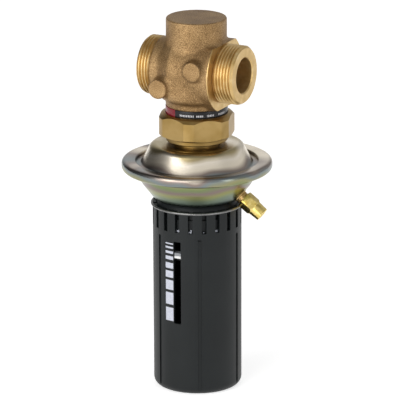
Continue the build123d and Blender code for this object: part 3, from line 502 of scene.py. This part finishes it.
cut(nut, turned("fitting_end", [
    (0, 12.0, 0), (5.3, 12.0, 0), (5.45, 13.0, 0), (5.05, 20.0, 0), (4.75, 20.3, 0),
    (0, 20.3, 0)], closed=False, steps=96), "UNION")
cut(nut, turned("fitting_bore", [
    (0, 2, 0), (4.0, 2, 0), (4.0, 13.5, 0), (3.05, 13.5, 0), (3.05, 19.9, 0), (3.5, 20.4, 0),
    (3.5, 21, 0), (0, 21, 0)], closed=False, steps=96))
modify(nut, "BEVEL", width=0.12 * MM, segments=2, limit_method="ANGLE",
       angle_limit=radians(25))
bpy.ops.object.shade_smooth_by_angle(angle=radians(22))

# Bright turned brass, a paler yellow than the bronze, with faint tool marks
bright_brass, tree, place = new_material("bright_turned_brass")
smear = add_node(tree, "TexNoise", {"Vector": place, "Scale": 1 / (2.5 * MM), "Detail": 3.0})
colour = add_node(tree, "ValToRGB", {"Fac": smear.outputs["Fac"]}, stops=[
    (0.3, "#d2b65c"), (0.7, "#eed88e")])
rough = add_node(tree, "MapRange", {"Value": smear.outputs["Fac"], 3: 0.14, 4: 0.26})
bump = add_node(tree, "Bump", {"Height": smear.outputs["Fac"], "Strength": 0.04,
                               "Distance": 0.05 * MM})
metal = add_node(tree, "BsdfPrincipled", {
    "Base Color": colour.outputs["Color"], "Metallic": 1.0,
    "Roughness": rough.outputs["Result"], "Normal": bump.outputs["Normal"]})
add_node(tree, "OutputMaterial", {"Surface": metal.outputs["BSDF"]})
for piece, metal, node in ((nipple, turned_bronze, "impulse_nipple"),
                           (nut, bright_brass, "compression_nut")):
    piece.data.transform(fitting_place)
    bpy.context.view_layer.update()
    give(piece, metal, HOUSING, "fitting_brass", node)


# The handle: a cup moulded in black glass-filled nylon, with twenty fingers at its top,
# a window for the indicator, six shallow grip grooves and two ribs inside that turn the nut.
handle_height = 134.5
foot_radius, taper = 31.0, 0.3
window_low, window_high = 52.0, 112.2
ring_radius, ring_height = 31.75, 133.5
ring_wire, ring_clearance = 0.9, 0.02
handle = turned("handle_cup", [
    (0, 0, 0), (foot_radius, 0, 6.0), (foot_radius + taper, handle_height, 0.3),
    (29.0, handle_height, 0.2), (29.0, 130.6, 0),
    (27.6, 130.6, 0.3), (27.6, 128.0, 0), (29.0, 128.0, 0), (28.7, 3.0, 1.5), (0, 3.0, 0),
], steps=240, closed=False)
for side in (-1, 1):
    cut(handle, block((min(side * 26.4, side * 29.8), -2.0, 30.0),
                      (max(side * 26.4, side * 29.8), 2.0, 114.5)), "UNION")


def ring_of(tool, count, start=0.0):
    """Copies a tool round the stem, each copy with its own mesh, and joins them."""
    copies = []
    for index in range(count):
        copy = tool.copy()
        copy.data = tool.data.copy()
        copy.data.transform(Matrix.Rotation(radians(start) + index * 2 * pi / count, 4, "Z"))
        bpy.context.scene.collection.objects.link(copy)
        copies.append(copy)
    bpy.data.objects.remove(tool)
    bpy.ops.object.select_all(action="DESELECT")
    for copy in copies:
        copy.select_set(True)
    bpy.context.view_layer.objects.active = copies[0]
    bpy.ops.object.join()
    return copies[0]


slot = block((25, -1.65, 118.8), (36, 1.65, 140))
modify(slot, "BEVEL", width=0.5 * MM, segments=3, limit_method="ANGLE")
cut(handle, ring_of(slot, 20, start=-90))
groove = block((30.4, -1.35, -5), (36, 1.35, 113.65))
cut(groove, cylinder(1.35, 30.4, 36, along="X", at=(0, 0, 113.65), sides=32), "UNION")
cut(handle, ring_of(groove, 6))
window = block((-2.75, -36, window_low), (2.75, -25, window_high))
modify(window, "BEVEL", width=0.5 * MM, segments=3, limit_method="ANGLE")
cut(handle, window)
bpy.ops.object.select_all(action="DESELECT")
bpy.ops.mesh.primitive_torus_add(major_radius=ring_radius * MM,
                                 minor_radius=(ring_wire + ring_clearance) * MM,
                                 major_segments=160, minor_segments=16,
                                 location=(0, 0, ring_height * MM))
bpy.ops.object.transform_apply(location=True)
cut(handle, bpy.context.object)
modify(handle, "BEVEL", width=0.18 * MM, segments=2, limit_method="ANGLE",
       angle_limit=radians(40))
bpy.ops.object.shade_smooth_by_angle(angle=radians(35))

# Glass-filled nylon, spark-eroded mould: near-black with a cool cast, satin, and with a
# fine even texture that breaks up the highlights
nylon, tree, place = new_material("moulded_black_nylon")
spark = add_node(tree, "TexNoise", {"Vector": place, "Scale": 1 / (0.6 * MM), "Detail": 3.0})
flow = add_node(tree, "TexNoise", {"Vector": place, "Scale": 1 / (30 * MM), "Detail": 2.0})
colour = add_node(tree, "ValToRGB", {"Fac": flow.outputs["Fac"]}, stops=[
    (0.3, "#111516"), (0.7, "#171b1c")])
rough = add_node(tree, "MapRange", {"Value": spark.outputs["Fac"], 3: 0.4, 4: 0.52})
bump = add_node(tree, "Bump", {"Height": spark.outputs["Fac"], "Strength": 0.25,
                               "Distance": 0.05 * MM})
shell = add_node(tree, "BsdfPrincipled", {
    "Base Color": colour.outputs["Color"], "Roughness": rough.outputs["Result"],
    "Specular IOR Level": 0.28, "Normal": bump.outputs["Normal"]})
add_node(tree, "OutputMaterial", {"Surface": shell.outputs["BSDF"]})
give(handle, nylon, "handle_set", "black_plastic", "handle")


# The scale on the handle: nine white fields beside the window, and small marks on the
# carrier that show at the foot of the slots. It is screen ink.
ink_thickness = 0.07


def printed_field(low, high, start, end, radius=None):
    """A thin curved field of ink between two heights and two angles, on the handle's
    tapered skin or at a radius."""
    bpy.ops.object.select_all(action="DESELECT")
    bpy.ops.mesh.primitive_plane_add(size=0.01)
    field = bpy.context.object
    bpy.ops.object.mode_set(mode="EDIT")
    bpy.ops.mesh.select_all(action="SELECT")
    bpy.ops.mesh.merge(type="CENTER")
    skin_at = [radius or foot_radius + taper * z / handle_height - 0.02 for z in (low, high)]
    turn_to = Matrix.Rotation(radians(start), 3, "Z")
    foot, head = (turn_to @ Vector((r * MM, 0, z * MM)) for r, z in zip(skin_at, (low, high)))
    bpy.ops.transform.translate(value=foot)
    bpy.ops.mesh.extrude_region_move(TRANSFORM_OT_translate={"value": head - foot})
    bpy.ops.mesh.select_all(action="SELECT")
    bpy.ops.mesh.spin(steps=max(2, int(abs(end - start) / 1.5)), angle=radians(end - start),
                      center=(0, 0, 0), axis=(0, 0, -1))
    bpy.ops.mesh.select_all(action="SELECT")
    bpy.ops.mesh.remove_doubles(threshold=1e-7)
    bpy.ops.mesh.normals_make_consistent(inside=False)
    bpy.ops.object.mode_set(mode="OBJECT")
    modify(field, "SOLIDIFY", thickness=ink_thickness * MM, offset=0.0)
    return field


fields = [printed_field(low, high, -108.4, -96.0) for low, high in (
    (53.6, 63.3), (65.6, 74.4), (76.4, 83.5), (85.4, 90.3), (92.1, 96.2), (98.5, 101.1),
    (103.0, 104.8), (106.8, 108.1), (109.8, 110.7))]
marks = [printed_field(low, high, start, end, radius=28.66) for low, high, start, end in (
    (118.9, 120.3, -92.8, -87.2), (118.9, 119.8, -75.0, -71.0), (119.9, 121.2, -72.4, -71.0),
    (118.9, 119.5, -55.0, -53.0), (118.9, 120.3, -38.8, -33.2))]
for name, prints in (("scale_print", fields), ("carrier_print", marks)):
    bpy.ops.object.select_all(action="DESELECT")
    for field in prints:
        field.select_set(True)
    bpy.context.view_layer.objects.active = prints[0]
    bpy.ops.object.join()
    prints[0].name = prints[0].data.name = name

# Screen ink: a matt, slightly blue white that is a little worn
ink, tree, place = new_material("white_screen_ink")
wear = add_node(tree, "TexNoise", {"Vector": place, "Scale": 1 / (1.2 * MM), "Detail": 3.0})
colour = add_node(tree, "ValToRGB", {"Fac": wear.outputs["Fac"]}, stops=[
    (0.3, "#c6cad8"), (0.6, "#d6d9e4")])
shell = add_node(tree, "BsdfPrincipled", {"Base Color": colour.outputs["Color"],
                                          "Roughness": 0.5})
add_node(tree, "OutputMaterial", {"Surface": shell.outputs["BSDF"]})
give(fields[0], ink, "handle_set", "white_plastic")
give(marks[0], ink, HOUSING, "white_plastic")


# The retaining ring: 1.8 mm spring wire bent round the fingers, its ends a little apart
# at the back.
bpy.ops.object.select_all(action="DESELECT")
bpy.ops.mesh.primitive_torus_add(major_radius=ring_radius * MM, minor_radius=ring_wire * MM,
                                 major_segments=192, minor_segments=16,
                                 location=(0, 0, ring_height * MM))
bpy.ops.object.transform_apply(location=True)
wire_ring = bpy.context.object
wire_ring.name = wire_ring.data.name = "retaining_wire"
cut(wire_ring, block((-0.8, 28, 131), (0.8, 35, 136)))
bpy.ops.object.shade_smooth_by_angle(angle=radians(40))

# Drawn wire: a dull mid grey metal, with patches that shine a little more than others
wire, tree, place = new_material("drawn_spring_wire")
drawn = add_node(tree, "TexNoise", {"Vector": place, "Scale": 1 / (0.8 * MM), "Detail": 3.0})
rough = add_node(tree, "MapRange", {"Value": drawn.outputs["Fac"], 3: 0.25, 4: 0.45})
colour = add_node(tree, "ValToRGB", {"Fac": drawn.outputs["Fac"]}, stops=[
    (0.3, "#6f6f70"), (0.7, "#8c8b89")])
metal = add_node(tree, "BsdfPrincipled", {
    "Base Color": colour.outputs["Color"], "Metallic": 1.0,
    "Roughness": rough.outputs["Result"]})
add_node(tree, "OutputMaterial", {"Surface": metal.outputs["BSDF"]})
give(wire_ring, wire, "handle_set", "spring_wire", "retaining_ring")


# The carrier: a cup moulded in the same nylon and fixed under the bowl by the guide nut.
# The handle's fingers hook in its groove, so that the handle turns and stays on.
carrier = turned("handle_carrier_cup", [
    (9.05, 133.0, 0), (24.65, 133.0, 1.0), (24.65, 117.5, 0), (28.65, 117.5, 0.5),
    (28.65, 127.65, 0), (27.25, 127.65, 0), (27.25, 130.95, 0), (28.65, 130.95, 0),
    (28.65, 134.0, 0.5), (26.65, 137.0, 0), (9.05, 137.0, 0)])
give(carrier, nylon, HOUSING, "black_plastic", "handle_carrier")


# The adjusting nut and its indicator: a nylon disc screwed on the guide tube, notched for the
# handle's ribs, with a white ring whose tab stands in the window. Above the lower edge its
# colour is a painted shade of grey.
adjuster = turned("adjusting_nut_disc", [
    (9.05, 98.0, 0), (28.35, 98.0, 0.3), (28.35, 100.0, 0), (25.35, 100.0, 0),
    (25.35, 103.9, 0.3), (14.0, 103.9, 0.5), (14.0, 107.0, 0.5), (9.05, 107.0, 0)])
pointer = turned("indicator_ring", [
    (25.4, 100.05, 0), (28.35, 100.05, 0.2), (28.35, 103.9, 0.3), (25.4, 103.9, 0)])
cut(pointer, block((-2.45, -30.5, 100.05), (2.45, -26.0, 103.9)), "UNION")
for disc in (adjuster, pointer):
    for side in (-1, 1):
        cut(disc, block((min(side * 25.1, side * 32), -2.35, 96),
                        (max(side * 25.1, side * 32), 2.35, 110)))
    bpy.ops.object.shade_smooth_by_angle(angle=radians(30))
modify(pointer, "BEVEL", width=0.2 * MM, segments=2, limit_method="ANGLE")

# Moulded acetal: white and half matt, with painted shade in grey above the lower edge
acetal_with_painted_shade, tree, place = new_material("moulded_acetal_with_painted_shade")
parts = add_node(tree, "SeparateXYZ", {"Vector": place})
shade_edge_noise = add_node(tree, "TexNoise", {"Vector": place, "Scale": 1 / (2 * MM), "Detail": 2.0})
painted_shade_height = add_node(tree, "Math", {0: shade_edge_noise.outputs["Fac"], 1: 0.0006, 2: parts.outputs["Z"]},
                operation="MULTIPLY_ADD")
level = add_node(tree, "MapRange", {"Value": painted_shade_height.outputs[0], 1: 0.1014, 2: 0.1026})
# The grey stop is painted shade over the tab's upper part; the white stop is the acetal's own colour
colour = add_node(tree, "ValToRGB", {"Fac": level.outputs["Result"]}, stops=[
    (0.3, "#f8f8f6"), (0.7, "#8f9296")])
shell = add_node(tree, "BsdfPrincipled", {"Base Color": colour.outputs["Color"],
                                          "Roughness": 0.4})
add_node(tree, "OutputMaterial", {"Surface": shell.outputs["BSDF"]})
give(adjuster, nylon, "nut_set", "black_plastic", "adjusting_nut")
give(pointer, acetal_with_painted_shade, "nut_set", "white_plastic", "indicator")


# The setting spring: seven turns of 4 mm wire with ground ends. In the valve it shortens between
# its seat on the spindle and the plate under the nut; here it is built at one length.
seat_height, plate_height = 17.0, 96.0
coil_radius, wire_radius, coil_turns = 17.0, 2.0, 7
end_turn_top = 28.0
coil_pitch = (plate_height - seat_height - wire_radius) / coil_turns
bpy.ops.object.select_all(action="DESELECT")
bpy.ops.mesh.primitive_circle_add(
    vertices=16, radius=wire_radius * MM, rotation=(pi / 2, 0, 0),
    location=(coil_radius * MM, 0, (seat_height + wire_radius / 2) * MM),
)
bpy.ops.object.transform_apply(location=True, rotation=True)
spring = bpy.context.object
spring.name = spring.data.name = "setting_spring_coil"
modify(spring, "SCREW", axis="Z", angle=2 * pi, screw_offset=coil_pitch * MM,
       iterations=coil_turns, steps=48, render_steps=48, use_merge_vertices=False)
bpy.ops.object.mode_set(mode="EDIT")
bpy.ops.mesh.select_all(action="SELECT")
bpy.ops.mesh.remove_doubles(threshold=1e-7)
bpy.ops.mesh.select_all(action="DESELECT")
bpy.ops.mesh.select_non_manifold()
bpy.ops.mesh.edge_face_add()
bpy.ops.mesh.select_all(action="SELECT")
bpy.ops.mesh.normals_make_consistent(inside=False)
bpy.ops.object.mode_set(mode="OBJECT")
cut(spring, cylinder(25, seat_height, plate_height), "INTERSECT")
bpy.ops.object.shade_smooth_by_angle(angle=radians(40))

# Oiled spring steel: nearly black, with an uneven wet shine
oiled_steel, tree, place = new_material("oiled_black_spring_steel")
film = add_node(tree, "TexNoise", {"Vector": place, "Scale": 1 / (3 * MM), "Detail": 3.0})
rough = add_node(tree, "MapRange", {"Value": film.outputs["Fac"], 3: 0.25, 4: 0.45})
colour = add_node(tree, "ValToRGB", {"Fac": film.outputs["Fac"]}, stops=[
    (0.3, "#202022"), (0.7, "#38383a")])
metal = add_node(tree, "BsdfPrincipled", {
    "Base Color": colour.outputs["Color"], "Metallic": 0.8,
    "Roughness": rough.outputs["Result"]})
add_node(tree, "OutputMaterial", {"Surface": metal.outputs["BSDF"]})
# In the valve its lowest turn gives way as the seat rises with the valve, and the others as the
# plate comes down. Here it is only cut into two meshes that meet at end_turn_top; the bodies
# and heights listed with each are not used.
end_turn = spring.copy()
end_turn.data = spring.data.copy()
end_turn.name = end_turn.data.name = "setting_spring_end_turn"
bpy.context.scene.collection.objects.link(end_turn)
cut(spring, cylinder(25, end_turn_top, 100.0), "INTERSECT")
cut(end_turn, cylinder(25, 10.0, end_turn_top), "INTERSECT")
for piece, below, above, low, high in (
    (spring, HOUSING, "thrust_plate", end_turn_top, plate_height),
    (end_turn, "stem_set", HOUSING, seat_height, end_turn_top),
):
    piece.data.materials.clear()
    piece.data.materials.append(oiled_steel)
    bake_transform(piece)
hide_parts("setting_spring")


# The pieces inside the housing and the handle keep their solids: turned stainless steel,
# brass and moulded rubber.

# Turned stainless steel: mid grey and satin, with tool rings 0.3 mm apart
stainless, tree, place = new_material("turned_stainless_steel")
tooling = add_node(tree, "TexWave", {"Vector": place, "Scale": 1 / (0.3 * MM) / 20,
                                     "Distortion": 0.5}, bands_direction="Z")
haze = add_node(tree, "TexNoise", {"Vector": place, "Scale": 1 / (4 * MM), "Detail": 3.0})
rough = add_node(tree, "MapRange", {"Value": haze.outputs["Fac"], 3: 0.22, 4: 0.36})
bump = add_node(tree, "Bump", {"Height": tooling.outputs["Fac"], "Strength": 0.1,
                               "Distance": 0.04 * MM})
metal = add_node(tree, "BsdfPrincipled", {
    "Base Color": srgb("#a8a8a8"), "Metallic": 1.0, "Roughness": rough.outputs["Result"],
    "Normal": bump.outputs["Normal"]})
add_node(tree, "OutputMaterial", {"Surface": metal.outputs["BSDF"]})

# Moulded rubber: matt black with a faint bloom
rubber, tree, place = new_material("moulded_black_rubber")
bloom = add_node(tree, "TexNoise", {"Vector": place, "Scale": 1 / (1 * MM), "Detail": 3.0})
rough = add_node(tree, "MapRange", {"Value": bloom.outputs["Fac"], 3: 0.6, 4: 0.8})
bump = add_node(tree, "Bump", {"Height": bloom.outputs["Fac"], "Strength": 0.2,
                               "Distance": 0.05 * MM})
skin = add_node(tree, "BsdfPrincipled", {
    "Base Color": srgb("#1c1c1d"), "Roughness": rough.outputs["Result"],
    "Normal": bump.outputs["Normal"]})
add_node(tree, "OutputMaterial", {"Surface": skin.outputs["BSDF"]})

for material, names in (
    (stainless, ("valve_seat", "valve_plug", "valve_stem", "diaphragm_plate_upper",
                 "diaphragm_plate_lower", "plate_nut", "spindle", "guide_tube", "guide_nut",
                 "spring_plate", "spring_seat", "spindle_nut")),
    (tumbled_brass, ("stem_guide", "housing_hub")),
    (bright_brass, ("cutting_ring",)),
    (rubber, ("plug_seal", "stem_o_ring", "neck_gasket", "spindle_o_ring")),
):
    for name in names:
        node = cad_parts[name]
        node.data.materials.clear()
        node.data.materials.append(material)

# The diaphragm's edge is clamped in the housing and its middle rises with the plates. Here its
# solid is copied, welded, given the rubber and fixed in place, and the copy stands in for it.
diaphragm = bpy.data.objects.new("working_diaphragm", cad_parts["diaphragm"].data.copy())
bpy.context.scene.collection.objects.link(diaphragm)
modify(diaphragm, "WELD", merge_threshold=0.001 * MM)
diaphragm.data.materials.clear()
diaphragm.data.materials.append(rubber)
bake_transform(diaphragm)
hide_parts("diaphragm")


# Camera: a long lens at the photograph's angle, a little above the object
distance, azimuth, elevation = 4.0, radians(27.0), radians(16.4)
target = Vector((0, 0, 0.1348))
back = Vector((sin(azimuth) * cos(elevation), -cos(azimuth) * cos(elevation), sin(elevation)))
bpy.ops.object.camera_add(location=target + distance * back)
camera = bpy.context.object
look = (-back).to_track_quat("-Z", "Y").to_matrix().to_4x4()
camera.matrix_world = Matrix.Translation(target + distance * back) @ look @ Matrix.Rotation(
    radians(-0.24), 4, "Z")
photo_width, focal_length_in_pixels = 400, 5680
camera.data.sensor_width = 36.0
camera.data.lens = focal_length_in_pixels / photo_width * camera.data.sensor_width
camera.data.shift_x = 0.00725
camera.data.clip_end = 20
bpy.context.scene.camera = camera

# The floor: white paper. It is shown at full white to the camera and in metal, and lights the
# object and takes its shadow as plain paper does.
bpy.ops.mesh.primitive_plane_add(size=30, location=(0, 0, 0))
floor = bpy.context.object
floor.name = "floor"
paper, tree, place = new_material("white_paper")
rays = add_node(tree, "LightPath")
lit = add_node(tree, "BsdfDiffuse", {"Color": srgb("#ececec")})
glow = add_node(tree, "Emission", {"Strength": 0.65})
both = add_node(tree, "AddShader")
tree.links.new(lit.outputs["BSDF"], both.inputs[0])
tree.links.new(glow.outputs["Emission"], both.inputs[1])
mirrored = add_node(tree, "Math", {0: rays.outputs["Is Glossy Ray"],
                                   1: rays.outputs["Is Transmission Ray"]})
shown = add_node(tree, "Math", {0: rays.outputs["Is Camera Ray"], 1: mirrored.outputs[0]},
                 use_clamp=True)
seen = add_node(tree, "MixShader", {"Fac": shown.outputs[0]})
tree.links.new(lit.outputs["BSDF"], seen.inputs[1])
tree.links.new(both.outputs["Shader"], seen.inputs[2])
add_node(tree, "OutputMaterial", {"Surface": seen.outputs["Shader"]})
floor.data.materials.append(paper)

# The studio above the floor: broad light in front, a narrower pale backdrop behind, and
# dark walls between the two
world = bpy.data.worlds.new("studio")
bpy.context.scene.world = world
world.use_nodes = True
tree = world.node_tree
tree.nodes.clear()
way = add_node(tree, "TexCoord").outputs["Generated"]
height = add_node(tree, "SeparateXYZ", {"Vector": way})
azimuth_of = add_node(tree, "Math", {0: height.outputs["Y"], 1: height.outputs["X"]},
                      operation="ARCTAN2")
round_about = add_node(tree, "MapRange", {"Value": azimuth_of.outputs[0], 1: -pi, 2: pi})
walls = add_node(tree, "ValToRGB", {"Fac": round_about.outputs["Result"]}, stops=[
    (0.0, 0.1), (0.075, 0.25), (0.167, 0.95), (0.4, 1.0), (0.52, 0.65), (0.66, 0.8),
    (0.76, 0.5), (0.82, 1.0), (0.87, 0.8), (0.93, 0.1), (1.0, 0.1)])
ceiling = add_node(tree, "MapRange", {"Value": height.outputs["Z"],
                                      1: 0.6, 2: 0.95, 3: 1.0, 4: 0.5})
seen = add_node(tree, "Math", {0: walls.outputs["Color"], 1: ceiling.outputs["Result"]},
                operation="MULTIPLY")
sky = add_node(tree, "Background", {"Strength": seen.outputs[0]})
add_node(tree, "OutputWorld", {"Surface": sky.outputs["Background"]})

for name, place, size, power in (
    ("key", (-0.4, -1.85, 0.75), (1.7, 1.4), 21.5),
    ("side", (1.8, -0.5, 0.5), (0.4, 1.2), 3.5),
):
    bpy.ops.object.light_add(type="AREA", location=place)
    lamp = bpy.context.object
    lamp.name = name
    lamp.data.shape = "RECTANGLE"
    lamp.data.size, lamp.data.size_y = size
    lamp.data.energy = power
    aim = Vector((0, 0, 0.18)) - Vector(place)
    lamp.rotation_euler = aim.to_track_quat("-Z", "Y").to_euler()

bpy.context.scene.view_settings.view_transform = "Standard"
